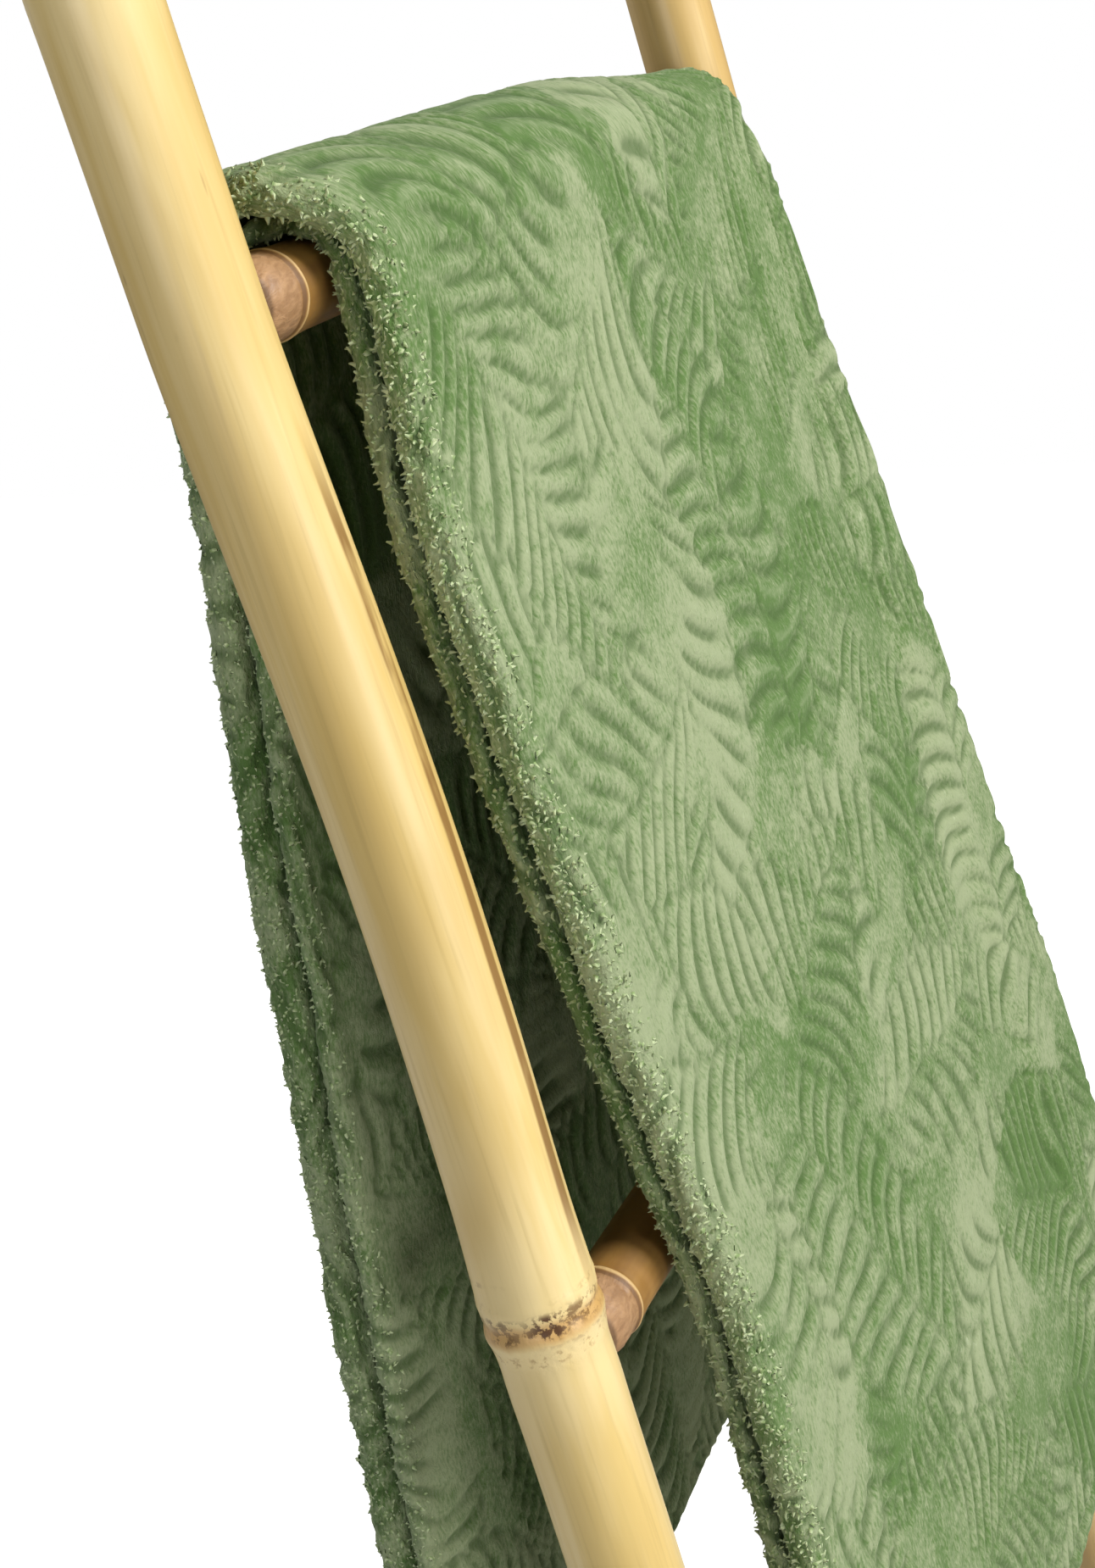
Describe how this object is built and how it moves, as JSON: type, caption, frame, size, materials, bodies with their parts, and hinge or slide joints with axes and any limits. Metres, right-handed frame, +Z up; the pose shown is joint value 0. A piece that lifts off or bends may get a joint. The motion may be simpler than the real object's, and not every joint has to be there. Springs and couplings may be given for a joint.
{
  "type": "throw on a ladder rack",
  "caption": "Leaning bamboo ladder rack with a folded plush throw draped over its top rung, hanging down in front and behind.",
  "frame": {"origin": "on the floor, under the middle of the whole object's box", "axes": "+Z up; +Y points at the wall the ladder leans on; +X runs along the rungs to the right as seen from the front"},
  "size_m": [0.5692, 0.3689, 1.7784],
  "materials": {
    "straw_culm": "satin polished culm skin, pale straw",
    "honey_culm": "satin polished culm skin, warm honey",
    "rung_culm": "dry matt culm, wrinkled by its nodes",
    "peg_bamboo": "raw split bamboo, end grain showing",
    "sage_plush": "short sage-green plush with an embossed leaf pattern"
  },
  "bodies": {
    "ladder": {"rail_left": "straw_culm", "rail_right": "honey_culm", "rung_pins": "peg_bamboo", "rung_1": "rung_culm", "rung_2": "rung_culm", "rung_3": "rung_culm", "rung_4": "rung_culm", "rung_5": "rung_culm"},
    "throw": {"throw_saddle": "sage_plush"},
    "front_drop": {"throw_front_drop": "sage_plush"},
    "back_drop": {"throw_back_drop": "sage_plush"}
  },
  "joints": [
    {"name": "throw_lift", "type": "slide", "parent": "ladder", "child": "throw", "axis": [0, 0, 1], "range_m": [0, 0.9]},
    {"name": "front_swing", "type": "hinge", "parent": "throw", "child": "front_drop", "pos_m": [0, 0.09883, 1.60045], "axis": [-1, 0, 0], "range_deg": [0, 35]},
    {"name": "back_swing", "type": "hinge", "parent": "throw", "child": "back_drop", "pos_m": [0, 0.17068, 1.59385], "axis": [-1, 0, 0], "range_deg": [0, 10]}
  ]
}
